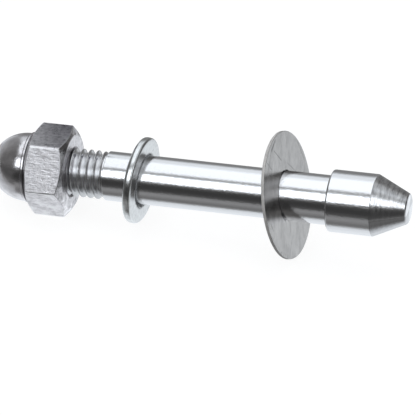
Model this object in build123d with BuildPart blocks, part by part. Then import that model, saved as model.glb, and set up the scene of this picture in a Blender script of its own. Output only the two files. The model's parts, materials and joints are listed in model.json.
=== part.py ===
"""Threaded dowel pin with a cap nut and two loose washers, lying on a flat surface.

Lengths are in millimetres. The part is drawn along the axis of the pin: "along" runs from the
domed end of the nut towards the pointed nose, and is 0 at the nut's hexagon face beside the dome.
It lies the way it comes to rest. The nut stands on the end of its lowest flat, the large washer
stands on its rim, and the pin, held by both, leans nose up by the angle that this gives.
The origin is on that surface, under the middle of the part. +X points to the nose, +Z is up.
"""

from build123d import *

import os
from math import asin, atan2, cos, degrees, hypot, radians, sin, sqrt, tan

# Pin, turned from one bar: thread, plain shank, thicker head, truncated cone as its nose.
thread_d = 7.9
thread_length = 14.8
thread_end_chamfer = 0.8
runout_width = 0.35
runout_depth = 0.4
shank_d = 8.0
shank_length = 37.2
head_step = 1.0
head_length = 7.25
head_edge_chamfer = 0.3
nose_length = 5.45
nose_tip_d = 4.8
nose_tip_chamfer = 0.25

# Cap nut: hexagon, narrow collar with a groove behind it, domed cap, blind threaded bore.
nut_across_flats = 13.0
nut_hex_length = 5.8
nut_bearing_d = 12.1
nut_chamfer_angle = 30.0
collar_step = 0.3
collar_length = 0.55
groove_length = 0.3
groove_depth = 0.35
dome_wall = 1.5
dome_straight = 1.1
crown_wall = 1.0
bore_clearance = 0.1
bore_mouth_chamfer = 0.45
bore_end_gap = 1.0
drill_point_angle = 118.0

# Small thick washer, hanging on the shank near the thread.
small_washer_d = 14.1
small_washer_thickness = 1.4
small_washer_play = 0.8
small_washer_rounding = 0.5
small_washer_hole_chamfer = 0.25
small_washer_from_nut = 11.4
small_washer_lean_angle = 1.2
small_washer_turn_angle = 4.4
hanging_gap = 0.08

# Large thin washer, standing on its rim near the head.
large_washer_d = 20.55
large_washer_thickness = 0.5
large_washer_play = 0.4
large_washer_chamfer = 0.08
large_washer_from_head = 7.4
large_washer_lean_angle = 16.2
large_washer_turn_angle = 2.6
resting_gap = 0.04

# Radii, and places along the pin.
thread_r = thread_d / 2
shank_r = shank_d / 2
head_r = shank_r + head_step
bore_r = thread_r + bore_clearance
dome_r = bore_r + dome_wall
collar_r = dome_r + collar_step
groove_r = dome_r - groove_depth
collar_end = -collar_length
groove_end = collar_end - groove_length
dome_centre = groove_end - dome_straight
dome_tip = dome_centre - dome_r
bore_end = dome_centre - sqrt((dome_r - crown_wall) ** 2 - bore_r**2)
nut_face = nut_hex_length
pin_start = bore_end + bore_end_gap
thread_end = pin_start + thread_length
shoulder = thread_end + shank_length
head_front = shoulder + head_length
nose_tip = head_front + nose_length
small_washer_along = nut_face + small_washer_from_nut
large_washer_along = shoulder - large_washer_from_head
small_hole_r = shank_r + small_washer_play / 2
large_hole_r = shank_r + large_washer_play / 2


def washer_normal(lean, turn):
    """Unit normal of a washer whose top leans to the nut and whose face turns to the viewer, in degrees."""
    along = cos(radians(lean))
    return Vector(along * cos(radians(turn)), -along * sin(radians(turn)), sin(radians(lean)))


def hole_slack(hole_r, thickness, off_square):
    """How far a washer's centre may lie above or below the pin's axis, when it leans by off_square degrees."""
    return hole_r * cos(radians(off_square)) - thickness / 2 * sin(radians(off_square)) - shank_r


small_normal = washer_normal(small_washer_lean_angle, small_washer_turn_angle)
large_normal = washer_normal(large_washer_lean_angle, large_washer_turn_angle)

# The lean of the pin: its axis is half the nut's width over the surface at along = 0. At the large
# washer it lies in the bottom of the hole, so the washer's centre is higher than it by a small rise.
nut_height = nut_across_flats / 2
washer_height = (
    large_washer_d / 2 * sqrt(1 - large_normal.Z**2)
    + large_washer_thickness / 2 * large_normal.Z
)


def lean_of_pin(rise):
    """Angle in degrees at which the pin's axis passes this far below the large washer's centre."""
    start_height = nut_height + rise
    return degrees(
        asin(washer_height / hypot(start_height, large_washer_along))
        - atan2(start_height, large_washer_along)
    )


large_off_square = large_washer_lean_angle - lean_of_pin(0)
large_rise = hole_slack(large_hole_r, large_washer_thickness, large_off_square) - resting_gap
pin_tilt = lean_of_pin(large_rise)
lean_cos = cos(radians(pin_tilt))
lean_sin = sin(radians(pin_tilt))

# The middle of the part's length goes over the origin.
lowest_x = dome_centre * lean_cos - dome_r
highest_x = nose_tip * lean_cos + nose_tip_d / 2 * lean_sin
start_x = -(lowest_x + highest_x) / 2

# Local x is along the pin, local y is across it and upwards.
pin_plane = Plane(
    origin=(start_x, 0, nut_height * lean_cos),
    x_dir=(lean_cos, 0, lean_sin),
    z_dir=(0, -1, 0),
)
pin_axis = Axis(pin_plane.origin, pin_plane.x_dir)


def across(along):
    """The plane square to the pin at a place along it, facing the nose."""
    return Plane(
        origin=pin_plane.from_local_coords((along, 0, 0)),
        x_dir=pin_plane.y_dir,
        z_dir=pin_plane.x_dir,
    )


def washer_plane(along, rise, normal):
    """The middle plane of a washer whose centre is this far above the pin's axis."""
    return Plane(origin=pin_plane.from_local_coords((along, rise, 0)), z_dir=normal)


# Pin: one turned profile, from the chamfered end of the thread to the flat tip of the nose.
with BuildPart() as headed_pin:
    with BuildSketch(pin_plane):
        with BuildLine():
            Polyline(
                (pin_start, 0),
                (pin_start, thread_r),
                (thread_end - runout_width, thread_r),
                (thread_end - runout_width, thread_r - runout_depth),
                (thread_end, thread_r - runout_depth),
                (thread_end, shank_r),
                (shoulder, shank_r),
                (shoulder, head_r),
                (head_front, head_r),
                (nose_tip, nose_tip_d / 2),
                (nose_tip, 0),
                close=True,
            )
        make_face()
    revolve(axis=pin_axis)
    turned_edges = headed_pin.edges().filter_by(GeomType.CIRCLE)
    shoulder_edge = turned_edges.group_by(SortBy.RADIUS)[-1].sort_by(pin_axis)[0]
    chamfer(turned_edges.sort_by(pin_axis)[0], length=thread_end_chamfer)
    chamfer(turned_edges.sort_by(pin_axis)[-1], length=nose_tip_chamfer)
    chamfer(shoulder_edge, length=head_edge_chamfer)
headed_pin.part.label = "headed_pin"

# Cap nut: a hexagon whose corners are turned away at the bearing face, a collar with a groove
# behind it, a dome, and a blind bore that ends in the cone of a drill.
bearing_r = nut_bearing_d / 2
corner_r = nut_height / cos(radians(30))
corner_depth = (corner_r - bearing_r) * tan(radians(nut_chamfer_angle))
drill_point = bore_r / tan(radians(drill_point_angle / 2))
with BuildPart() as cap_nut:
    with BuildSketch(across(0)):
        RegularPolygon(nut_height, 6, major_radius=False, rotation=30)
    extrude(amount=nut_hex_length)
    with BuildSketch(pin_plane):
        with BuildLine():
            Polyline(
                (0, 0),
                (0, corner_r),
                (nut_face - corner_depth, corner_r),
                (nut_face, bearing_r),
                (nut_face, 0),
                close=True,
            )
        make_face()
    revolve(axis=pin_axis, mode=Mode.INTERSECT)
    with BuildSketch(pin_plane):
        with BuildLine():
            Polyline(
                (dome_centre, dome_r),
                (groove_end, dome_r),
                (groove_end, groove_r),
                (collar_end, groove_r),
                (collar_end, collar_r),
                (0, collar_r),
                (0, 0),
                (dome_tip, 0),
            )
            RadiusArc((dome_tip, 0), (dome_centre, dome_r), dome_r)
        make_face()
    revolve(axis=pin_axis)
    with BuildSketch(pin_plane):
        with BuildLine():
            Polyline(
                (bore_end - drill_point, 0),
                (bore_end, bore_r),
                (nut_face - bore_mouth_chamfer, bore_r),
                (nut_face, bore_r + bore_mouth_chamfer),
                (nut_face, 0),
                close=True,
            )
        make_face()
    revolve(axis=pin_axis, mode=Mode.SUBTRACT)
cap_nut.part.label = "cap_nut"

# Small washer: a thick ring with a rounded rim and a broken hole edge. It hangs from the top of
# the shank, so its centre is below the pin's axis.
small_off_square = small_normal.get_angle(pin_plane.x_dir)
small_drop = hole_slack(small_hole_r, small_washer_thickness, small_off_square) - hanging_gap
with BuildPart() as small_washer:
    with BuildSketch(washer_plane(small_washer_along, -small_drop, small_normal)):
        Circle(small_washer_d / 2)
        Circle(small_hole_r, mode=Mode.SUBTRACT)
    extrude(amount=small_washer_thickness / 2, both=True)
    small_edges = small_washer.edges().filter_by(GeomType.CIRCLE).group_by(SortBy.RADIUS)
    fillet(small_edges[-1], radius=small_washer_rounding)
    chamfer(small_edges[0], length=small_washer_hole_chamfer)
small_washer.part.label = "small_washer"

# Large washer: a disc punched from sheet, with its outer edges just broken.
with BuildPart() as large_washer:
    with BuildSketch(washer_plane(large_washer_along, large_rise, large_normal)):
        Circle(large_washer_d / 2)
        Circle(large_hole_r, mode=Mode.SUBTRACT)
    extrude(amount=large_washer_thickness / 2, both=True)
    large_edges = large_washer.edges().filter_by(GeomType.CIRCLE).group_by(SortBy.RADIUS)
    chamfer(large_edges[-1], length=large_washer_chamfer)
large_washer.part.label = "large_washer"

os.makedirs("parts", exist_ok=True)
for piece in (headed_pin, cap_nut, small_washer, large_washer):
    export_step(piece.part, f"parts/{piece.part.label}.step")

print(f"pin leans {pin_tilt:.4f} degrees, along = 0 is at x {start_x:.4f}, z {nut_height * lean_cos:.4f}")
print(f"places along the pin: start {pin_start:.3f}, nut face {nut_face:.3f}, thread end {thread_end:.3f},")
print(f"  shoulder {shoulder:.3f}, head front {head_front:.3f}, tip {nose_tip:.3f}, dome tip {dome_tip:.3f}")
print(f"small washer at {small_washer_along:.3f}, {small_drop:.3f} below the axis")
print(f"large washer at {large_washer_along:.3f}, {large_rise:.3f} above the axis")
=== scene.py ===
# %% [markdown]
# # A dowel screw in bright steel
#
# The object is four loose pieces of steel. A turned pin has a thread at one end and a thick head
# with a cone at the other. A cap nut closes the thread, and two washers hang on the shank.
# The packed model gives the place of each piece. Here each gets a finer surface and its finish.

# %% Load the packed model
import json

import bmesh
import bpy
import numpy as np
from mathutils import Matrix


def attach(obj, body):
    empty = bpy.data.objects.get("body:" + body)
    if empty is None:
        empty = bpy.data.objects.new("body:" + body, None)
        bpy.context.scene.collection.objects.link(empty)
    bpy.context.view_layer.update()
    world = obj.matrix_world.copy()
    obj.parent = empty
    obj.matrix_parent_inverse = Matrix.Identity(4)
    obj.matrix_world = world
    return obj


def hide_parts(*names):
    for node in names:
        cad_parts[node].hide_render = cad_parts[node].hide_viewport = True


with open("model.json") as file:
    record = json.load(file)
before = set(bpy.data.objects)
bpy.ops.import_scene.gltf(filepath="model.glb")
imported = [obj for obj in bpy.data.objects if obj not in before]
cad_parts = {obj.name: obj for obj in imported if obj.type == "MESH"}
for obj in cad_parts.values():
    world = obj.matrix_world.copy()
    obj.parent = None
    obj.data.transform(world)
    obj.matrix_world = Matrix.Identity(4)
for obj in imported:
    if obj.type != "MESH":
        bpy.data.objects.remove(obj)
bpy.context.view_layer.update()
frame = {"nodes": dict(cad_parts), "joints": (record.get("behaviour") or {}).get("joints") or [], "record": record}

mm = 0.001
print("pieces:", sorted(frame["nodes"]))

# %% [markdown]
# ## The pin's own directions
#
# The real pin leans, because the nut holds one end and the large washer the other. It could be
# drawn upright and turned afterwards, but a finished object has to stay unturned. So every point
# is worked out along the leaning axis at once. `along` is the distance from the nut's hexagon face
# beside the dome, and an angle goes round the axis from the upper side towards the viewer.
# The axis is that of the washers' slide, and the spanner mount marks the middle of the hexagon.

# %% Axis, upper side and near side of the pin
nut_hex_length = 5.8 * mm
joints = {joint["name"]: joint for joint in frame["joints"]}
mounts = {mount["name"]: mount for mount in frame["record"]["mounts"]}
axis = np.array(joints["small_washer_slide"]["axis"])
near = np.array([0.0, -1.0, 0.0])
upper = np.cross(near, axis)
start = np.array(mounts["spanner_hexagon"]["pos_m"]) - axis * nut_hex_length / 2
print(f"the pin leans {np.degrees(np.arcsin(axis[2])):.2f} degrees")


# %% Points round an axis
def place(along, radius, angle, centre=start, out=axis, side_a=upper, side_b=near):
    """Points at centre + along * out + radius * (cos(angle) * side_a + sin(angle) * side_b)."""
    ring = np.cos(angle)[..., None] * side_a + np.sin(angle)[..., None] * side_b
    return centre + along[..., None] * out + radius[..., None] * ring


def node_points(name):
    """The points of a node of the packed model, one row for each."""
    return np.array([point.co for point in frame["nodes"][name].data.vertices])


print("along = 0 is at", place(*np.zeros((3, 1)))[0] / mm, "mm")

# %% [markdown]
# ## Turned surfaces
#
# Every piece here was turned or punched, so every surface is a grid of two parameters: a place on
# the profile, and an angle round the axis. A profile corner that stays sharp looks false, because
# light never catches it. A bevel modifier could round it, but it would round the thread as well.
# `soften` swaps each corner for a short curve, with a support point on both sides that keeps the
# flats beside it flat.

# %% Soft corners for a profile
longest_reach = 0.4
support_reach, longest_support = 1.35, 0.47


def soften(corners, cut, steps=4):
    """Rounds a profile's inner corners. A corner C becomes the curve A (1-t)^2 + 2 C t(1-t) + B t^2
    between A and B, the points on its two sides at the distance cut from it."""
    corners = np.asarray(corners, float)
    cuts = np.broadcast_to(cut, len(corners))
    t = np.linspace(0, 1, steps + 1)[:, None, None]
    rows = [corners[:1]]
    for before, corner, after, corner_cut in zip(corners, corners[1:], corners[2:], cuts[1:]):
        ends, supports = [], []
        for side in (before, after):
            length = np.linalg.norm(side - corner, axis=-1, keepdims=True)
            reach = np.minimum(corner_cut, longest_reach * length)
            support = np.minimum(support_reach * reach, longest_support * length)
            ends.append(corner + (side - corner) * reach / length)
            supports.append(corner + (side - corner) * support / length)
        curve = ends[0] * (1 - t) ** 2 + 2 * corner * t * (1 - t) + ends[1] * t**2
        rows += [supports[0][None], curve, supports[1][None]]
    rows.append(corners[-1:])
    return np.concatenate(rows)


bend = soften([[(0, 0)], [(1, 0)], [(1, 1)]], 0.1)
print("rows in place of one sharp corner:", len(bend) - 2)


# %% A profile carried round an axis
def same(along, radius, angles):
    """One profile corner at every angle. Its along and radius are one value, or one for each angle."""
    return np.stack(np.broadcast_arrays(along, radius, angles)[:2], -1)


def grid_faces(rows, columns, wrap_rows=False):
    """Quads of a grid whose columns close on themselves, with its rows closed too if wanted."""
    row = np.arange(rows if wrap_rows else rows - 1)[:, None]
    column = np.arange(columns)[None, :]
    next_row, next_column = (row + 1) % rows, (column + 1) % columns
    low_edge = [row * columns + column, row * columns + next_column]
    high_edge = [next_row * columns + next_column, next_row * columns + column]
    return np.stack(low_edge + high_edge, -1).reshape(-1, 4)


def turned_grid(profile, angles, wrap_rows=False, **where):
    """Points and faces of a profile carried round an axis: each (along, radius) pair of a row, the
    same or one for each angle, is placed at each angle."""
    profile = np.broadcast_to(profile, (len(profile), len(angles), 2))
    points = place(profile[..., 0], profile[..., 1], np.broadcast_to(angles, profile.shape[:2]), **where)
    return points.reshape(-1, 3), grid_faces(*profile.shape[:2], wrap_rows)


print("faces on a grid of 3 rows and 8 columns:", len(grid_faces(3, 8)))

# %% [markdown]
# ## From points to a mesh
#
# `foreach_set` hands whole arrays to Blender, which is far quicker than adding faces one by one.
# A grid that goes once round meets itself at a seam, and its end rows shrink to a pole, so points
# at one place are merged, and the faces are turned to point outwards.

# %% One mesh from points and faces
weld_distance = 0.0004 * mm


def mesh_from(name, points, faces):
    """One smooth object at the origin, closed where its points lie at one place."""
    mesh = bpy.data.meshes.new(name)
    mesh.vertices.add(len(points))
    mesh.vertices.foreach_set("co", points.astype(np.float32).ravel())
    mesh.loops.add(faces.size)
    mesh.loops.foreach_set("vertex_index", faces.astype(np.int32).ravel())
    mesh.polygons.add(len(faces))
    mesh.polygons.foreach_set("loop_start", np.arange(0, faces.size, 4, dtype=np.int32))
    mesh.update(calc_edges=True)
    work = bmesh.new()
    work.from_mesh(mesh)
    bmesh.ops.remove_doubles(work, verts=work.verts, dist=weld_distance)
    bmesh.ops.recalc_face_normals(work, faces=work.faces)
    work.to_mesh(mesh)
    work.free()
    mesh.shade_smooth()
    made = bpy.data.objects.new(name, mesh)
    bpy.context.scene.collection.objects.link(made)
    triangles = sum(len(face.vertices) - 2 for face in mesh.polygons)
    print(f"{name}: {len(mesh.vertices)} points, {triangles} triangles")
    return made


print(f"points closer than {weld_distance / mm} mm become one")

# %% [markdown]
# ## The thread
#
# A thread is a ridge that climbs by one pitch each turn. It could be a plain grid with a wavy
# radius, but then the crests cross the rows at a slant and their edges look nibbled. Here a strip
# as wide as one pitch is wound round the axis, so its long edges follow the crest exactly. The
# ends are cut square by holding the strip inside the thread's length.
# The pin's thread is 8 mm by 1.25 mm: crests at 3.925 mm, roots at 3.235 mm, flanks at 60 degrees.

# %% Thread shape
pitch = 1.25 * mm
crest_r, root_r = 3.925 * mm, 3.235 * mm
crest_flat = pitch / 8
flank_slope = np.sqrt(3)
edge_round = 0.05 * mm
thread_phase = 0.08


def low_of(a, b, soft):
    """The lower of a and b, with the corner between them rounded over about soft."""
    return (a + b - np.sqrt((a - b) ** 2 + soft**2)) / 2


def high_of(a, b, soft):
    """The higher of a and b, with a rounded corner."""
    return -low_of(-a, -b, soft)


def thread_radius(along, angle, low, high, lift=0.0):
    """Radius of a right-hand thread. Away from the middle of the crest it falls along a 60 degree
    flank, crest_r - (distance - crest_flat / 2) * sqrt(3) + lift, held between low and high."""
    turns = (along / pitch - angle / (2 * np.pi) + thread_phase) % 1.0
    distance = np.minimum(turns, 1 - turns) * pitch
    flank = crest_r - (distance - crest_flat / 2) * flank_slope + lift
    return high_of(low_of(flank, high, edge_round), low, edge_round)


print(f"the thread is {(crest_r - root_r) / mm:.2f} mm deep")


# %% A strip wound round the axis
def wound_strip(from_along, to_along, columns, across=20):
    """Grid of a strip one pitch wide, wound round the axis and cut at both ends.
    Its two parameters are the turned angle and the place across the pitch. It starts one turn
    early and ends one turn late, and the faces that the cuts flatten are left out."""
    turns = int(np.ceil((to_along - from_along) / pitch)) + 2
    angle = np.arange(turns * columns + 1) * 2 * np.pi / columns
    width = np.linspace(0, 1, across + 1)
    along = from_along - pitch + pitch * (angle[:, None] / (2 * np.pi) + width[None, :])
    angle = np.broadcast_to(angle[:, None], along.shape)
    inside = np.clip(along, from_along, to_along)
    index = np.arange(inside.size).reshape(inside.shape)
    quads = np.stack([index[:-1, :-1], index[1:, :-1], index[1:, 1:], index[:-1, 1:]], -1).reshape(-1, 4)
    kept = np.ptp(inside.ravel()[quads], axis=1) > 0
    return inside.ravel(), angle.ravel(), quads[kept]


print("points on one pitch of a strip of 8 columns:", len(wound_strip(0, pitch, 8)[0]))

# %% [markdown]
# ## The pin
#
# The pin is one turned bar. Its sizes are those of the model: an 8 mm shank, a 10 mm head and a
# cone to a small flat tip. The thread starts with a chamfer and ends in a narrow groove beside
# the shank. A boolean could cut the thread into a plain bar, but it would leave ragged faces that
# shine unevenly. Here the strip and the plain turned parts share the circles where they meet.

# %% Where each stretch of the pin begins
shank_r, head_r, tip_r = 4.0 * mm, 5.0 * mm, 2.4 * mm
shank_length, head_length, nose_length = 37.2 * mm, 7.25 * mm, 5.45 * mm
groove_width = 0.35 * mm
pin_along = (node_points("headed_pin") - start) @ axis
pin_start, nose_tip = pin_along.min(), pin_along.max()
head_front = nose_tip - nose_length
shoulder = head_front - head_length
thread_end = shoulder - shank_length
strip_end = thread_end - groove_width
print("start, thread end, shoulder, head front and tip at",
      np.round(np.array([pin_start, thread_end, shoulder, head_front, nose_tip]) / mm, 2), "mm")

# %% Threaded stretch
pin_columns = 192
end_chamfer_r = 3.15 * mm
groove_r, groove_wall = 3.5 * mm, 0.8
strip_along, strip_angle, strip_faces = wound_strip(pin_start, strip_end, pin_columns)
strip_radius = thread_radius(strip_along, strip_angle, root_r, crest_r)
strip_radius = low_of(strip_radius, end_chamfer_r + (strip_along - pin_start), edge_round / 2)
strip_radius = np.minimum(strip_radius, groove_r + (strip_end - strip_along) * groove_wall)
strip_radius[strip_along <= pin_start] = end_chamfer_r
strip_radius[strip_along >= strip_end] = groove_r
print("faces on the thread:", len(strip_faces))


# %% Plain stretches
def pairs(*corners):
    """Profile corners that are the same all the way round, as an array of one column."""
    return np.array(corners, float)[:, None]


end_face_r = 1.5 * mm
shank_margin, shank_row_count = 0.5 * mm, 24
groove_cut = 0.08 * mm
head_cuts = np.array([0, 0.02, 0.3, 0.14, 0.32, 0]) * mm
pin_angles = np.arange(pin_columns) * 2 * np.pi / pin_columns
shank_rows = np.linspace(thread_end + shank_margin, shoulder - shank_margin, shank_row_count)
end_face = pairs((pin_start, 0), (pin_start, end_face_r), (pin_start, end_chamfer_r))
groove = pairs((strip_end, groove_r), (thread_end, groove_r), (thread_end, shank_r),
               (shank_rows[0], shank_r))
shank = pairs(*[(row, shank_r) for row in shank_rows[1:-1]])
head = pairs((shank_rows[-1], shank_r), (shoulder, shank_r), (shoulder, head_r), (head_front, head_r),
             (nose_tip, tip_r), (nose_tip, 0))
plain = np.concatenate([soften(groove, groove_cut), shank, soften(head, head_cuts)])
print("rows from the groove to the tip:", len(plain))


# %% The whole pin
def joined_grids(*grids):
    """Several (points, faces) grids as one."""
    offsets = np.cumsum([0] + [len(points) for points, _ in grids])
    faces = [found + offset for (_, found), offset in zip(grids, offsets)]
    return np.concatenate([points for points, _ in grids]), np.concatenate(faces)


pin_grids = joined_grids(
    turned_grid(end_face, pin_angles),
    (place(strip_along, strip_radius, strip_angle), strip_faces),
    turned_grid(plain, pin_angles),
)
pin = mesh_from("turned_pin", *pin_grids)
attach(pin, "pin")
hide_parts("headed_pin")

# %% [markdown]
# ## The cap nut
#
# A cap nut is made from a hexagon bar: its dome, rim and neck are turned, and both ends of the
# hexagon are turned too, which cuts its corners to a curve. It could be a hexagon with cones
# subtracted, but then each edge needs its own bevel. Here it is one turned profile that changes
# with the angle. From the dome it goes over a seam, a thin rim, a narrow neck, the hexagon and the
# bearing face into the threaded bore. The angles lie closest together at the hexagon's corners.

# %% The hexagon, seen along the axis
half_flats = 6.5 * mm
corner_round = 0.26 * mm
side_angle, half_side_angle = np.radians(60), np.radians(30)
corner_steps = np.radians([0, 0.35, 0.75, 1.2, 1.7, 2.6])
flat_steps = np.radians(np.linspace(4.5, 30, 13))
half_side = np.concatenate([corner_steps, flat_steps])
one_side = np.concatenate([half_side, side_angle - half_side[-2:0:-1]])
nut_angles = (half_side_angle + side_angle * np.arange(6)[:, None] + one_side).ravel()


def hexagon_radius(angle):
    """Distance from the axis to a hexagon with round corners. On a flat it is half_flats divided by
    the cosine of the angle from the flat's middle, and near a corner that of the corner's circle."""
    from_corner = np.abs(angle % side_angle - half_side_angle)
    centre = (half_flats - corner_round) / np.cos(half_side_angle)
    tangent_up, tangent_out = corner_round * np.sin(half_side_angle), corner_round * np.cos(half_side_angle)
    tangent = np.arctan2(tangent_up, centre + tangent_out)
    flat = half_flats / np.cos(half_side_angle - from_corner)
    inner = np.maximum(corner_round**2 - (centre * np.sin(from_corner)) ** 2, 0)
    return np.where(from_corner < tangent, centre * np.cos(from_corner) + np.sqrt(inner), flat)


hexagon = hexagon_radius(nut_angles)
print(f"the hexagon is {hexagon.max() * 2 / mm:.2f} mm over its rounded corners")

# %% Sizes along the nut
bearing_r, mouth_r, bore_r = 6.05 * mm, 4.12 * mm, 4.05 * mm
bearing_slope = np.tan(np.radians(30))
face_r, face_slope = 6.2 * mm, np.tan(np.radians(24))
neck_r, neck_end = 5.3 * mm, -1.09 * mm
rim_r, rim_length = 5.75 * mm, 0.34 * mm
seam_r, seam_length = 5.25 * mm, 0.15 * mm
dome_r, crown_wall, dome_centre = 5.55 * mm, 1.0 * mm, -1.95 * mm
dome_length = 5.90 * mm
nut_thread_low, nut_thread_high, thread_gap = 3.33 * mm, 3.99 * mm, 0.05 * mm
drill_slope = np.tan(np.radians(59))

turned_from = nut_hex_length - np.maximum(hexagon - bearing_r, 0) * bearing_slope
face_from = (hexagon - hexagon.max()) * face_slope
face_end = (face_r - hexagon.max()) * face_slope
rim_end = neck_end - rim_length
seam_end = rim_end - seam_length
bore_start = nut_hex_length - (mouth_r - nut_thread_high)
bore_end = dome_centre - np.sqrt((dome_r - crown_wall) ** 2 - bore_r**2)
print(f"the bore is {(nut_hex_length - bore_end) / mm:.2f} mm deep")

# %% The nut's profile: dome, outside, bore and the drill's cone
dome_row_count = 46
dome_turn = np.radians(np.linspace(0, 90, dome_row_count))[:-1]
dome = [same(dome_centre - dome_length * np.cos(a), dome_r * np.sin(a), nut_angles) for a in dome_turn]
outside = [
    (dome_centre, dome_r, 0),
    (seam_end, dome_r, 0.05 * mm),
    (seam_end, seam_r, 0.03 * mm),
    (rim_end, seam_r, 0.03 * mm),
    (rim_end, rim_r, 0.07 * mm),
    (neck_end, rim_r, 0.07 * mm),
    (neck_end, neck_r, 0.05 * mm),
    (face_end, neck_r, 0.04 * mm),
    (face_end, face_r, 0.04 * mm),
    (face_from, hexagon, 0.08 * mm),
    (turned_from, hexagon, 0.05 * mm),
    (nut_hex_length, bearing_r, 0.05 * mm),
    (nut_hex_length, mouth_r, 0.05 * mm),
    (bore_start, nut_thread_high, 0),
]
outside_corners = [same(along, radius, nut_angles) for along, radius, _ in outside]
outside_cuts = [cut for _, _, cut in outside]

bore_row_count = 150
thread_stops, plain_starts = bore_end + 0.6 * mm, bore_end + 0.5 * mm
bore_rows = np.linspace(bore_start, thread_stops, bore_row_count)[1:]
nut_thread = (nut_thread_low, nut_thread_high, thread_gap)
bore = [same(row, thread_radius(row, nut_angles, *nut_thread), nut_angles) for row in bore_rows]
drilled = [(plain_starts, nut_thread_low), (bore_end, nut_thread_low),
           (bore_end - nut_thread_low / drill_slope, 0)]
drill_end = [same(*corner, nut_angles) for corner in drilled]
nut_profile = np.concatenate([dome, soften(outside_corners, outside_cuts), bore, drill_end])
nut = mesh_from("cap_nut_surface", *turned_grid(nut_profile, nut_angles))
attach(nut, "nut")
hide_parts("cap_nut")

# %% [markdown]
# ## The washers
#
# A washer is a small profile carried round its own axis, closed on itself. The thick one is
# tumbled smooth, and the thin one is punched from sheet and keeps its edges. A torus or a cut disc
# could make them, but a profile also gives the hole its uneven burr. The packed model says where
# each one is: its axis is the direction in which its points spread least, and its centre lies
# half way between its two faces.

# %% Where a ring of the packed model lies
def ring_place(node):
    """Centre, axis and two directions across it, measured on a ring of the packed model."""
    points = node_points(node)
    middle = points.mean(0)
    out = np.linalg.eigh(np.cov((points - middle).T))[1][:, 0]
    out = out * np.sign(out[0])
    reach = (points - middle) @ out
    centre = middle + out * (reach.max() + reach.min()) / 2
    side_b = np.cross(out, [0, 0, 1])
    side_b = side_b / np.linalg.norm(side_b)
    return {"centre": centre, "out": out, "side_a": np.cross(side_b, out), "side_b": side_b}


small_place = ring_place("small_washer")
large_place = ring_place("large_washer")
print("small washer centre", small_place["centre"] / mm, "axis", small_place["out"])
print("large washer centre", large_place["centre"] / mm, "axis", large_place["out"])

# %% A ring with a burr
ring_columns = 240
washer_angles = np.arange(ring_columns) * 2 * np.pi / ring_columns


def rough_edge(seed, first_wave=3, wave_count=40):
    """A random smooth height from about -1 to 1 round a hole, a sum of waves with random phases."""
    chance = np.random.default_rng(seed)
    wave = np.arange(first_wave, wave_count)[:, None]
    heights = chance.normal(size=wave.shape) / np.sqrt(wave)
    total = (heights * np.sin(wave * washer_angles + chance.uniform(0, 2 * np.pi, wave.shape))).sum(0)
    return total / np.abs(total).max()


def washer(name, ring, radius, hole_r, thickness, rim_cut, hole_cut, burr):
    """A ring with rounded edges, as a closed profile carried round the ring's own axis. The punch
    leaves a burr at the hole's two edges: at each angle they stand inwards by that much."""
    half, middle_r, edge_r = thickness / 2, (radius + hole_r) / 2, hole_r - burr
    outer = [(-half, middle_r), (-half, radius), (half, radius), (half, middle_r)]
    inner = [(half, middle_r), (half, edge_r), (-half, edge_r), (-half, middle_r)]
    outer_half = soften([same(*corner, washer_angles) for corner in outer], rim_cut, steps=6)
    inner_half = soften([same(*corner, washer_angles) for corner in inner], hole_cut, steps=4)
    profile = np.concatenate([outer_half, inner_half[1:-1]])
    return mesh_from(name, *turned_grid(profile, washer_angles, wrap_rows=True, **ring))


print(f"a ring has a point every {np.degrees(washer_angles[1]):.1f} degrees")

# %% The small thick washer
small_r, small_hole_r, small_thickness = 7.05 * mm, 4.4 * mm, 1.4 * mm
small_rim_cut, small_hole_cut = 0.62 * mm, 0.16 * mm
tear_depth, tear_share, tear_swing = 0.50 * mm, 0.35, 0.9
below = np.clip(-np.cos(washer_angles), 0, 1) ** 2
torn = np.clip(tear_share + tear_swing * rough_edge(3, 14, 70), 0, 1) * below * tear_depth
near_ring = washer("thick_washer", small_place, small_r, small_hole_r, small_thickness,
                   small_rim_cut, small_hole_cut, torn)
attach(near_ring, "near_washer")
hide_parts("small_washer")

# %% The large sheet washer
large_r, large_hole_r, large_thickness = 10.275 * mm, 4.2 * mm, 0.5 * mm
large_rim_cut, large_hole_cut = 0.1 * mm, 0.05 * mm
burr_height, burr_roughness, burr_reach = 0.30 * mm, 0.015 * mm, 0.4
behind = np.clip(-np.sin(washer_angles), 0, 1) * np.clip(np.cos(washer_angles) + burr_reach, 0, 1)
sheet_burr = burr_height * behind + burr_roughness * rough_edge(5)
far_ring = washer("sheet_ring", large_place, large_r, large_hole_r, large_thickness,
                  large_rim_cut, large_hole_cut, sheet_burr)
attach(far_ring, "far_washer")
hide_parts("large_washer")

# %% [markdown]
# ## Shader sums
#
# A finish is arithmetic on a few patterns. It could be wired node by node, but arithmetic is
# easiest to read as sums. `Wire` stands for one output of a node, and adding or multiplying wires
# adds Math nodes.

# %% Colour stops
def set_stops(ramp, stops):
    """Puts (position, colour) stops on a colour ramp."""
    while len(ramp.elements) > len(stops):
        ramp.elements.remove(ramp.elements[-1])
    while len(ramp.elements) < len(stops):
        ramp.elements.new(1.0)
    for element, (position, colour) in zip(ramp.elements, stops):
        element.position = position
        element.color = (*colour, 1.0)


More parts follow.
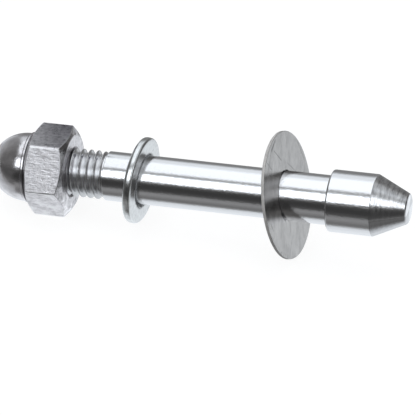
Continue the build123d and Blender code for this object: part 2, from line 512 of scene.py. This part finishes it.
# %% A socket that does sums
class Wire:
    """One output socket. The signs + - * / and their reflected forms add Math nodes."""

    def __init__(self, tree, socket=None):
        self.tree = tree
        self.socket = socket

    def node(self, kind, settings=None, values=None, out=0):
        """Adds a node of any kind: first its settings, then the values or links of its sockets."""
        made = self.tree.nodes.new(kind)
        for name, value in (settings or {}).items():
            if name == "stops":
                set_stops(made.color_ramp, value)
            else:
                setattr(made, name, value)
        for name, value in (values or {}).items():
            if isinstance(value, Wire):
                self.tree.links.new(value.socket, made.inputs[name])
            else:
                made.inputs[name].default_value = value
        return Wire(self.tree, made.outputs[out] if made.outputs else None)

    def math(self, operation, *values):
        """A Math node between the values, which are wires or numbers."""
        return self.node("ShaderNodeMath", {"operation": operation}, dict(enumerate(values)))

    def __add__(self, other):
        return self.math("ADD", self, other)

    def __radd__(self, other):
        return self.math("ADD", other, self)

    def __sub__(self, other):
        return self.math("SUBTRACT", self, other)

    def __rsub__(self, other):
        return self.math("SUBTRACT", other, self)

    def __mul__(self, other):
        return self.math("MULTIPLY", self, other)

    def __rmul__(self, other):
        return self.math("MULTIPLY", other, self)

    def __truediv__(self, other):
        return self.math("DIVIDE", self, other)

    def absolute(self):
        """The value without its sign."""
        return self.math("ABSOLUTE", self)

    def higher(self, other):
        """The higher of two values."""
        return self.math("MAXIMUM", self, other)

    def swing(self):
        """A pattern from 0 to 1 as one from -0.5 to 0.5, which lightens as much as it darkens."""
        return self - 0.5

    def rise(self, low, high, to_low=0.0, to_high=1.0):
        """A smooth step from to_low to to_high while the value goes from low to high."""
        values = {0: self, 1: low, 2: high, 3: to_low, 4: to_high}
        return self.node("ShaderNodeMapRange", {"interpolation_type": "SMOOTHSTEP"}, values)

    def dot(self, direction):
        """The length of a vector wire along a direction."""
        values = {0: self, 1: tuple(direction)}
        return self.node("ShaderNodeVectorMath", {"operation": "DOT_PRODUCT"}, values, out="Value")


def empty_tree(owner):
    """Empties the nodes of a world or a material, and gives a wire to build new ones with."""
    owner.use_nodes = True
    owner.node_tree.nodes.clear()
    return Wire(owner.node_tree)


print("a wire can:", [name for name in vars(Wire) if not name.startswith("_")])

# %% [markdown]
# ## The studio
#
# Polished steel has no colour of its own: it shows the room. The photograph's bands say what that
# room was: a pale table below, dark flags all round at eye height, a bright soft box in front
# and one overhead, with a narrow seam between them. Lamps and cards could be built for it, but
# every card would show its place and shape in every view. So the room is painted on the sky as a
# function of the direction alone. `turn` is the angle over the front horizon: 90 is straight up,
# 180 the horizon behind and 270 straight down. Each strip is a list of (turn, level) stops.

# %% Levels of the room, from left to right
left_strip = [
    (-100, 0.76), (-85, 0.64), (-70, 0.52), (-56, 0.42), (-43, 0.27), (-31, 0.14), (-15, 0.09), (0, 0.09),
    (15, 0.11), (40, 0.16), (60, 0.14), (85, 0.15), (105, 0.19), (125, 0.25), (140, 0.31), (155, 0.32),
    (172, 0.42), (186, 0.60), (203, 0.86), (240, 0.83),
]
middle_strip = [
    (-100, 0.86), (-83, 0.82), (-76, 0.62), (-69, 0.27), (-60, 0.155), (-50, 0.20), (-38, 0.26), (-29, 0.23),
    (-22, 0.085), (-10, 0.046), (4, 0.042), (14, 0.07), (20, 0.17), (24, 0.42), (29, 2.0), (53, 2.0),
    (58, 0.75), (63, 0.34), (67, 0.36), (73, 0.95), (78, 1.2), (120, 1.2), (128, 0.98), (136, 0.84),
    (147, 0.88), (154, 0.62), (162, 0.27), (172, 0.22), (206, 0.24), (214, 0.95), (230, 0.90),
]
table_on_right = [
    (-100, 0.86), (-90, 0.78), (-81, 0.54), (-73, 0.28), (-64, 0.16), (-56, 0.155), (-45, 0.19), (-35, 0.14),
    (-22, 0.06), (-8, 0.046), (10, 0.05),
]
table_behind_right = [(200, 0.85), (216, 1.05), (240, 1.0)]
near_right_strip = table_on_right + [
    (24, 0.10), (34, 0.18), (48, 0.30), (60, 0.42), (75, 0.38), (84, 0.42), (98, 0.62), (112, 0.46),
    (126, 0.36), (137, 0.20), (150, 0.14), (172, 0.13), (188, 0.22),
] + table_behind_right
right_strip = table_on_right + [
    (24, 0.11), (30, 0.30), (37, 1.2), (45, 1.6), (62, 1.5), (69, 1.0), (76, 0.50), (84, 0.41), (98, 0.60),
    (112, 0.44), (126, 0.34), (137, 0.15), (150, 0.09), (172, 0.09), (186, 0.20),
] + table_behind_right
far_right_strip = [
    (-100, 0.74), (-60, 0.45), (-30, 0.18), (30, 0.10), (100, 0.08), (150, 0.05), (182, 0.07), (208, 0.26),
    (232, 0.62), (260, 0.76),
]
all_strips = (left_strip, middle_strip, near_right_strip, right_strip, far_right_strip)
print("stops in the strips:", [len(levels) for levels in all_strips])

# %% A strip of levels as colours
lowest_turn, whole_turn = -100, 360
brightest = 2.0
cool_from, cool_over, most_cool = 0.15, 0.4, 0.045


def strip(turn, levels):
    """The levels as a colour ramp over the turn, a little bluish where they are light."""
    stops = []
    for angle, level in levels:
        cool = min(max((level - cool_from) / cool_over, 0), 1) * most_cool
        share = level / brightest
        stops.append(((angle - lowest_turn) / whole_turn, (share * (1 - cool), share, share * (1 + cool))))
    place_on_ramp = (turn - lowest_turn) / whole_turn
    return turn.node("ShaderNodeValToRGB", {"stops": stops}, {"Fac": place_on_ramp}, out="Color")


def blend(under, over, share):
    """The colour under, replaced by over where share is 1."""
    settings = {"data_type": "RGBA", "clamp_result": False}
    return share.node("ShaderNodeMix", settings, {"Factor": share, 6: under, 7: over}, out=2)


print("the lightest level is", max(level for levels in all_strips for _, level in levels))

# %% [markdown]
# The strips are blended by the direction's share along x, from -1 on the left to 1 on the right.
# The left strip's border isn't upright: from just under the horizon upwards it lies further to
# the left. The camera itself sees plain white in place of the room, as in the photograph.

# %% The room on the sky
world = bpy.data.worlds.new("studio")
bpy.context.scene.world = world
sky = empty_tree(world)
way = sky.node("ShaderNodeTexCoord", out="Generated")
share_x = way.dot((1, 0, 0))
over_front = sky.math("ARCTAN2", way.dot((0, 0, 1)), way.dot((0, -1, 0))) * (180 / np.pi)
turn = over_front + whole_turn * sky.math("LESS_THAN", over_front, lowest_turn)
left_border = share_x - turn.rise(-45, -20, -0.26, -0.40) - turn.rise(55, 72, 0.0, 0.04)
blends = [
    (left_strip, 1 - left_border.rise(-0.15, 0.0)),
    (near_right_strip, share_x.rise(-0.02, 0.22)),
    (right_strip, share_x.rise(0.45, 0.53)),
    (far_right_strip, share_x.rise(0.66, 0.80)),
]
seen = strip(turn, middle_strip)
for levels, share in blends:
    seen = blend(seen, strip(turn, levels), share)
to_camera = sky.node("ShaderNodeLightPath", out="Is Camera Ray")
room = sky.node("ShaderNodeBackground", values={"Color": seen, "Strength": brightest})
plain_white = sky.node("ShaderNodeBackground", values={"Color": (1, 1, 1, 1), "Strength": 1.0})
shown = sky.node("ShaderNodeMixShader", values={0: to_camera, 1: room, 2: plain_white})
sky.node("ShaderNodeOutputWorld", values={"Surface": shown})
print("nodes in the sky:", len(world.node_tree.nodes))

# %% [markdown]
# ## The table and the flag
#
# The table is white paper, so pale that only a faint shadow shows. A plain white floor would need
# more light than the steel can take, so part of what the camera sees of it is its own glow. The
# metal sees the sky's table and not this one, which would add a hard horizon to every band.
# The top flat of the nut is dark, although a bright soft box hangs above it. A darker sky would
# darken every upper side, so a small dark card stands close behind the nut, where that flat alone
# faces it.

# %% Studio cards
def card(name, corners, material):
    """A flat card with four corners."""
    mesh = bpy.data.meshes.new(name)
    mesh.from_pydata(corners, [], [(0, 1, 2, 3)])
    mesh.materials.append(material)
    made = bpy.data.objects.new(name, mesh)
    bpy.context.scene.collection.objects.link(made)
    print(f"{name}: corners {corners}")
    return made


# %% White table top
floor_reach = 2.0
floor_white = (0.9, 0.9, 0.9, 1)
floor_glow, floor_share = 1.26, 0.70
floor_corners = [(-floor_reach, -floor_reach, 0), (floor_reach, -floor_reach, 0),
                 (floor_reach, floor_reach, 0), (-floor_reach, floor_reach, 0)]
paper = bpy.data.materials.new("white_paper")
pen = empty_tree(paper)
lit = pen.node("ShaderNodeBsdfDiffuse", values={"Color": floor_white})
glow = pen.node("ShaderNodeEmission", values={"Color": (1, 1, 1, 1), "Strength": floor_glow})
glow_share = pen.node("ShaderNodeLightPath", out="Is Camera Ray") * floor_share
mixed = pen.node("ShaderNodeMixShader", values={0: glow_share, 1: lit, 2: glow})
pen.node("ShaderNodeOutputMaterial", values={"Surface": mixed})
floor = card("table_top", floor_corners, paper)
floor.visible_glossy = False

# %% Dark flag close behind the nut, seen only by the metal
flag_left, flag_slant, flag_right = -30.8 * mm, -7.1 * mm, -24.5 * mm
flag_low, flag_high, flag_y = 15 * mm, 32 * mm, 18 * mm
flag_colour, flag_strength = (0.85, 0.80, 1.25, 1), 0.035
flag_corners = [(flag_left, flag_y, flag_low), (flag_right, flag_y, flag_low),
                (flag_right, flag_y, flag_high), (flag_left + flag_slant, flag_y, flag_high)]
felt = bpy.data.materials.new("dark_felt")
cloth = empty_tree(felt)
dim = cloth.node("ShaderNodeEmission", values={"Color": flag_colour, "Strength": flag_strength})
cloth.node("ShaderNodeOutputMaterial", values={"Surface": dim})
flag = card("dark_flag", flag_corners, felt)
flag.visible_camera = flag.visible_diffuse = flag.visible_shadow = flag.visible_transmission = False

# %% [markdown]
# ## Finishes
#
# Three finishes come from three processes: turned and plated, drawn and brushed, punched from
# rolled sheet. Each is a metal whose tone, roughness and relief change with the process marks,
# and whose tone also carries some painted light and shade, set by the place on the piece.
# The marks could be painted on an image, but an image needs a flat layout of the surface. Noise
# on the object's own coordinates needs none, and it is stretched along the way the tool went.

# %% Patterns and places on a piece
pin_ways = (axis, upper, near)


def noise(where, scales, detail, rough, ways=pin_ways):
    """Soft random values about 0.5, with so many cells per millimetre along each of three ways."""
    parts = [where.dot(way) * (scale / mm) for way, scale in zip(ways, scales)]
    stretched = where.node("ShaderNodeCombineXYZ", values=dict(enumerate(parts)))
    values = {"Vector": stretched, "Scale": 1.0, "Detail": detail, "Roughness": rough}
    return where.node("ShaderNodeTexNoise", {"noise_dimensions": "3D"}, values)


def from_axis(where, centre, side_a, side_b):
    """The distance of a place from the axis through the centre, square to the two sides."""
    parts = {k: where.dot(side) - float(centre @ side) for k, side in enumerate((side_a, side_b))}
    flat_way = where.node("ShaderNodeCombineXYZ", values=parts)
    return where.node("ShaderNodeVectorMath", {"operation": "LENGTH"}, {0: flat_way}, out="Value")


def on_pin(where):
    """How far a place is along the pin, how far to its upper side, and how far from its axis."""
    along = where.dot(axis) - float(start @ axis)
    up_side = where.dot(upper) - float(start @ upper)
    return along, up_side, from_axis(where, start, upper, near)


print("the pin's axis is at", np.round(start / mm, 3), "mm, noise runs along", len(pin_ways), "ways")


# %% A metal from its tone, roughness and relief
def relief(height):
    """A bump that stands out by height, in metres."""
    return height.node("ShaderNodeBump", values={"Height": height, "Strength": 1.0, "Distance": 1.0})


def grey(amount, tint):
    """A colour whose three parts are amount times the tint."""
    return amount.node("ShaderNodeCombineColor", values={k: amount * part for k, part in enumerate(tint)})


def metal(name, piece, finish, tint):
    """A metal on a piece. The finish gives its tone, roughness and height from the object's coordinates."""
    made = bpy.data.materials.new(name)
    wire = empty_tree(made)
    tone, rough, height = finish(wire.node("ShaderNodeTexCoord", out="Object"))
    values = {"Metallic": 1.0, "Base Color": grey(tone, tint), "Roughness": rough, "Normal": relief(height)}
    surface = wire.node("ShaderNodeBsdfPrincipled", values=values)
    wire.node("ShaderNodeOutputMaterial", values={"Surface": surface})
    piece.data.materials.clear()
    piece.data.materials.append(made)
    print(f"{name} on {piece.name}: {len(made.node_tree.nodes)} nodes")


# %% [markdown]
# ### Turned and plated pin
#
# The lathe leaves rings round the bar, finest on the shank and plain to see on the cone. The
# plating rounds them off and leaves shallow patches. The thread's roots hold less of the shine,
# and the cone's upper side is a streaky mid grey. Shade is painted on the thread's lower side and
# on part of the cone. The flat tip was faced off smoothly.

# %% Turned bright steel
ring_cells, patch_cells, streak_cells = (4.0, 0.15, 0.15), (2.0, 2.4, 2.4), (2.4, 0.5, 0.5)
ring_height, cone_ring_height, patch_height = 0.003 * mm, 0.010 * mm, 0.019 * mm
border = 0.05 * mm
root_reach = 0.30 * mm
steel_tone, tip_tone, tip_calm = 0.86, -0.08, 0.85
gloss, root_dullness = 0.05, 0.20


def turned_finish(where):
    """Tone, roughness and height of the pin: patches and rings, with the cone, thread and tip apart."""
    along, up_side, radius = on_pin(where)
    rings = noise(where, ring_cells, 3.0, 0.6)
    patches = noise(where, patch_cells, 4.0, 0.65)
    streaks = noise(where, streak_cells, 3.0, 0.7)
    cone = along.rise(head_front - border, head_front + border)
    thread = 1 - along.rise(thread_end - border, thread_end + border)
    roots = thread * (1 - radius.rise(root_r + border, root_r + root_reach))
    tip = along.rise(nose_tip - 0.06 * mm, nose_tip - 0.01 * mm)
    height = patches * patch_height + rings * (cone * cone_ring_height + ring_height)
    height = height * (1 - tip * tip_calm)
    slant = where.dot(near) / up_side
    streaky = up_side.rise(0.8 * mm, 1.8 * mm, 0.2, 2.0) * streaks.swing()
    # Painted shade: where the cone's slant is low it is darkened by up to 30 percent. The streaks on its upper
    # side lighten as much as they darken.
    cone_streaks_and_painted_shade = cone * (streaky + slant.rise(-0.55, -0.1, -0.30, 0.0))
    # Painted shade: the thread's lower side is darkened by up to 40 percent.
    thread_painted_shade = thread * up_side.rise(-0.5 * mm, 0.7 * mm, -0.40, 0.03)
    tone = steel_tone * (1 + cone_streaks_and_painted_shade + thread_painted_shade + tip * tip_tone)
    rough = gloss + gloss * rings + cone * gloss + thread * gloss + roots * root_dullness
    return tone, rough, height


metal("turned_bright_steel", pin, turned_finish, (1.0, 1.0, 1.015))

# %% [markdown]
# ### Drawn, brushed and plated nut
#
# The flats keep the ripple of the drawn bar and a mottled plating. The dome is polished. The
# turned corners are blotchy and the corner edges are worn light. Light and shade are painted on
# by place: the lower flats are lighter, the top flat and the bearing face are darker, and the neck
# is darker on its near side. One material with a mask for each part keeps the patterns running on
# from part to part.

# %% Brushed plated steel
ripple_cells, mottle_cells, stain_cells = (0.6, 3.8, 3.8), (1.5, 1.5, 1.5), (0.55, 0.7, 0.7)
ripple_height, flat_mottle_height = 0.045 * mm, 0.036 * mm
mottle_height, stain_height = 0.020 * mm, 0.045 * mm
plated_tone, neck_painted_shade, top_flat_painted_shade, worn_tone = 0.78, -0.40, -0.15, 0.25
worn_from, worn_full = 7.30 * mm, 7.42 * mm
flats_from, flats_full = 6.25 * mm, 6.40 * mm


def nut_parts(where, along, radius):
    """Masks of the nut's flats, bearing face, turned corners and neck: 1 on the part and 0 beside it."""
    over_cone = along - nut_hex_length + (radius - bearing_r) * float(bearing_slope)
    turned_corner = over_cone.rise(-0.10 * mm, -0.03 * mm)
    bearing = along.rise(nut_hex_length - 0.08 * mm, nut_hex_length - 0.02 * mm)
    flats = radius.rise(flats_from, flats_full).higher(bearing) * (1 - turned_corner)
    neck = along.rise(neck_end - 0.05 * mm, neck_end + 0.02 * mm) * (1 - radius.rise(5.65 * mm, 5.85 * mm))
    # The near-side factor keeps the neck mask to the neck's near side, where its shade is painted.
    neck = neck * (1 - along.rise(-0.40 * mm, -0.30 * mm)) * where.dot(near).rise(0.4 * mm, 1.4 * mm)
    return flats, bearing, turned_corner, neck


def nut_finish(where):
    """Tone, roughness and height of the nut: ripple on its flats, mottling and stains all over."""
    along, up_side, radius = on_pin(where)
    flats, bearing, turned_corner, neck = nut_parts(where, along, radius)
    bore_wall = 1 - radius.rise(mouth_r, mouth_r + 0.08 * mm)
    ripple = noise(where, ripple_cells, 4.0, 0.7)
    mottled = noise(where, mottle_cells, 5.0, 0.75)
    stains = noise(where, stain_cells, 3.0, 0.6)
    height = flats * (ripple * ripple_height + mottled * flat_mottle_height)
    height = height + mottled * mottle_height + stains * stain_height
    stained = stains.swing() * up_side.rise(-0.2 * mm, 0.2 * mm, 1.4, 0.3)
    spots = 0.9 * mottled.swing() + 0.7 * ripple.swing() + stained
    # Painted light and shade: the flats below the axis are lighter, and the bearing face is a little darker.
    flat_painted_light_and_shade = up_side.rise(-0.2 * mm, 0.2 * mm, 0.12, 0.01) * (1 - bearing) - 0.06 * bearing
    # Painted shade: the top flat is darker.
    flat_painted_light_and_shade = flat_painted_light_and_shade + top_flat_painted_shade * up_side.rise(half_flats - 0.20 * mm, half_flats - 0.05 * mm)
    # The neck term is painted shade on the neck's near side.
    tone = plated_tone + flats * (spots + flat_painted_light_and_shade) + neck * neck_painted_shade + (1 - flats) * stains.swing() * 0.5
    tone = tone + turned_corner * (1.1 * stains.swing() + 0.9 * mottled.swing() - 0.13)
    tone = tone + radius.rise(worn_from, worn_full) * worn_tone
    rough = 0.10 + flats * (0.10 + 0.20 * mottled) + neck * 0.2 + bore_wall * 0.4
    return tone, rough, height


metal("brushed_plated_steel", nut, nut_finish, (0.985, 0.96, 0.98))

# %% [markdown]
# ### Plated thick washer
#
# This washer was tumbled before plating, so its rim is glossy and its faces are a little duller.
# The wall of its hole is torn by the punch, and the plating hardly covers the crumbs.

# %% Plated steel
grain_cells, crumb_cells = (1.5, 1.5, 1.5), (5.0, 5.0, 5.0)
grain_height, crumb_height = 0.015 * mm, 0.08 * mm
ring_tone, face_tone = 0.80, -0.11


def thick_finish(where):
    """Tone, roughness and height of the small washer: a fine grain, duller faces and a crumbly hole."""
    grain = noise(where, grain_cells, 4.0, 0.6)
    crumbs = noise(where, crumb_cells, 3.0, 0.7)
    radius = from_axis(where, *(small_place[key] for key in ("centre", "side_a", "side_b")))
    wall = 1 - radius.rise(small_hole_r + 0.05 * mm, small_hole_r + 0.40 * mm)
    aside = (where.dot(small_place["out"]) - float(small_place["centre"] @ small_place["out"])).absolute()
    face = aside.rise(small_thickness / 2 - 0.10 * mm, small_thickness / 2 - 0.02 * mm)
    height = grain * grain_height + wall * crumbs * crumb_height
    tone = ring_tone + face_tone * face + 0.5 * grain.swing() + wall * crumbs.swing() * 1.2
    rough = 0.12 + 0.10 * grain + wall * 0.35 + face * 0.12
    return tone, rough, height


metal("plated_steel", near_ring, thick_finish, (0.985, 1.0, 1.0))

# %% [markdown]
# ### Rolled sheet washer
#
# Rolling leaves fine lines one way, and handling leaves scratches across them. The lines and
# smears are noise stretched along the way of rolling. A scratch has a place of its own, which
# noise can't give, so each is a straight mark between two places on the face. The last mark is no
# scratch: it is painted shade that darkens the hole's edge on the lower near side, standing in for
# a shadowed gap between hole and shank that the solids don't have there. The rim is matt, and
# painted light makes it light above and dull below, with small dents beside it.

# %% A scratch between two places
def scratch(where, first, last, width):
    """1 on a straight mark between two places and 0 beside it. A place is in millimetres along the
    large washer's side_b and side_a from its centre."""
    centre, side_a, side_b = (large_place[key] for key in ("centre", "side_a", "side_b"))
    ends = [centre + (side_b * b + side_a * a) * mm for b, a in (first, last)]
    length = np.linalg.norm(ends[1] - ends[0])
    way_on = (ends[1] - ends[0]) / length
    way_off = np.cross(way_on, np.cross(side_b, side_a))
    along = where.dot(way_on) - float(ends[0] @ way_on)
    across = (where.dot(way_off) - float(ends[0] @ way_off)).absolute()
    ending = along.rise(-width, width * 2) * (1 - along.rise(length - width * 3, length + width))
    return ending * (1 - across.rise(width * 0.2, width))


# Each mark: first place, last place, half width in millimetres, strength.
sheet_marks = [
    ((-0.7, 9.9), (2.5, 9.1), 0.30, 0.9),
    ((2.5, 9.1), (5.6, 6.9), 0.22, 0.5),
    ((1.1, 8.8), (-0.9, 5.8), 0.14, 0.9),
    ((4.8, 8.9), (3.5, 6.5), 0.14, 0.7),
    ((-2.8, 4.3), (-5.0, 1.5), 0.12, 0.6),
    ((9.1, 0.2), (8.8, -1.6), 0.18, 0.8),
    ((-8.5, 5.1), (-9.5, 0.8), 0.16, 0.5),
    ((-3.4, 8.6), (-0.4, 6.6), 0.10, 0.4),
    ((2.0, -6.2), (5.2, -8.0), 0.12, 0.4),
    # Painted shade, not a scratch: a dark line on the hole's lower near edge, for a shadowed gap between hole and
    # shank.
    ((4.50, -0.6), (3.35, -2.95), 0.22, 1.4),
]
print("marks on the sheet:", len(sheet_marks))


# %% Rolled sheet steel
line_cells, cloud_cells, smear_cells = (0.5, 0.16, 1.5), (0.8, 0.45, 0.9), (0.5, 0.16, 0.55)
dent_cells = (1.6, 1.6, 1.6)
line_height, cloud_height, scratch_depth = 0.018 * mm, 0.016 * mm, 0.010 * mm
sheet_tone, scratch_and_gap_shade_tone, rim_top_painted_light = 0.46, -0.27, 0.42


def sheet_finish(where):
    """Tone, roughness and height of the large washer: rolling lines, smears, marks and a matt rim."""
    out, side_a, side_b = (large_place[key] for key in ("out", "side_a", "side_b"))
    rolled = (out, side_b * 0.6 - side_a * 0.8, side_b * 0.8 + side_a * 0.6)
    lines = noise(where, line_cells, 4.0, 0.7, rolled)
    cloud = noise(where, cloud_cells, 5.0, 0.65, rolled)
    smear = noise(where, smear_cells, 3.0, 0.6, rolled)
    dents = noise(where, dent_cells, 3.0, 0.7, (out, side_a, side_b))
    marks = 0.0
    for first, last, width, strength in sheet_marks:
        marks = scratch(where, first, last, width * mm) * strength + marks
    radius = from_axis(where, large_place["centre"], side_a, side_b)
    up_ring = where.dot(side_a) - float(large_place["centre"] @ side_a)
    rim = radius.rise(large_r - 0.9 * mm, large_r - 0.2 * mm) * where.dot(near).rise(0.0, 5.0 * mm)
    edge = radius.rise(large_r - 0.06 * mm, large_r - 0.01 * mm)
    height = lines * line_height + cloud * cloud_height - marks * scratch_depth
    tone = sheet_tone + 0.12 * lines.swing() + 0.46 * cloud.swing() + 0.16 * smear.swing()
    # The marks darken the face: all are scratches but the last, which is painted shade.
    tone = tone + marks * scratch_and_gap_shade_tone + rim * (1 - edge) * 0.8 * (dents - 0.52)
    # Painted light: the rim's edge is lighter towards its top and dull below.
    tone = tone + edge * up_ring.rise(-6.0 * mm, 2.0 * mm, 0.0, rim_top_painted_light)
    rough = 0.17 + 0.14 * cloud + 0.45 * edge
    return tone, rough, height


metal("rolled_sheet_steel", far_ring, sheet_finish, (1.03, 1.0, 0.975))

# %% [markdown]
# ## The camera
#
# A long lens looks down from the front and a little from the right, rolled by two degrees. It was
# fitted to the edges of the object in the photograph. The camera's matrix has its right, up and
# backward directions as columns, which is plainer here than three turns in the right order.

# %% Camera
azimuth, elevation, roll = np.radians([14.609, 33.202, 2.324])
distance, lens, sensor = 0.65358, 352.24, 36.0
aim_along, aim_height = 28.443 * mm, 4.862 * mm
aim = np.array([start[0] + aim_along, 0.0, aim_height])
level = np.cos(elevation)
back = np.array([np.sin(azimuth) * level, -np.cos(azimuth) * level, np.sin(elevation)])
level_right = np.array([np.cos(azimuth), np.sin(azimuth), 0.0])
level_up = np.cross(back, level_right)
right_way = level_right * np.cos(roll) + level_up * np.sin(roll)
up_way = level_up * np.cos(roll) - level_right * np.sin(roll)
pose = np.eye(4)
pose[:3] = np.stack([right_way, up_way, back, aim + back * distance], 1)
camera_data = bpy.data.cameras.new("camera")
camera_data.lens = lens
camera_data.sensor_width = sensor
camera_data.clip_start, camera_data.clip_end = 0.01, 20.0
camera = bpy.data.objects.new("camera", camera_data)
bpy.context.scene.collection.objects.link(camera)
camera.matrix_world = Matrix(pose.tolist())
bpy.context.scene.camera = camera
bpy.context.scene.view_settings.view_transform = "Standard"
print("camera at", camera.matrix_world.translation[:])
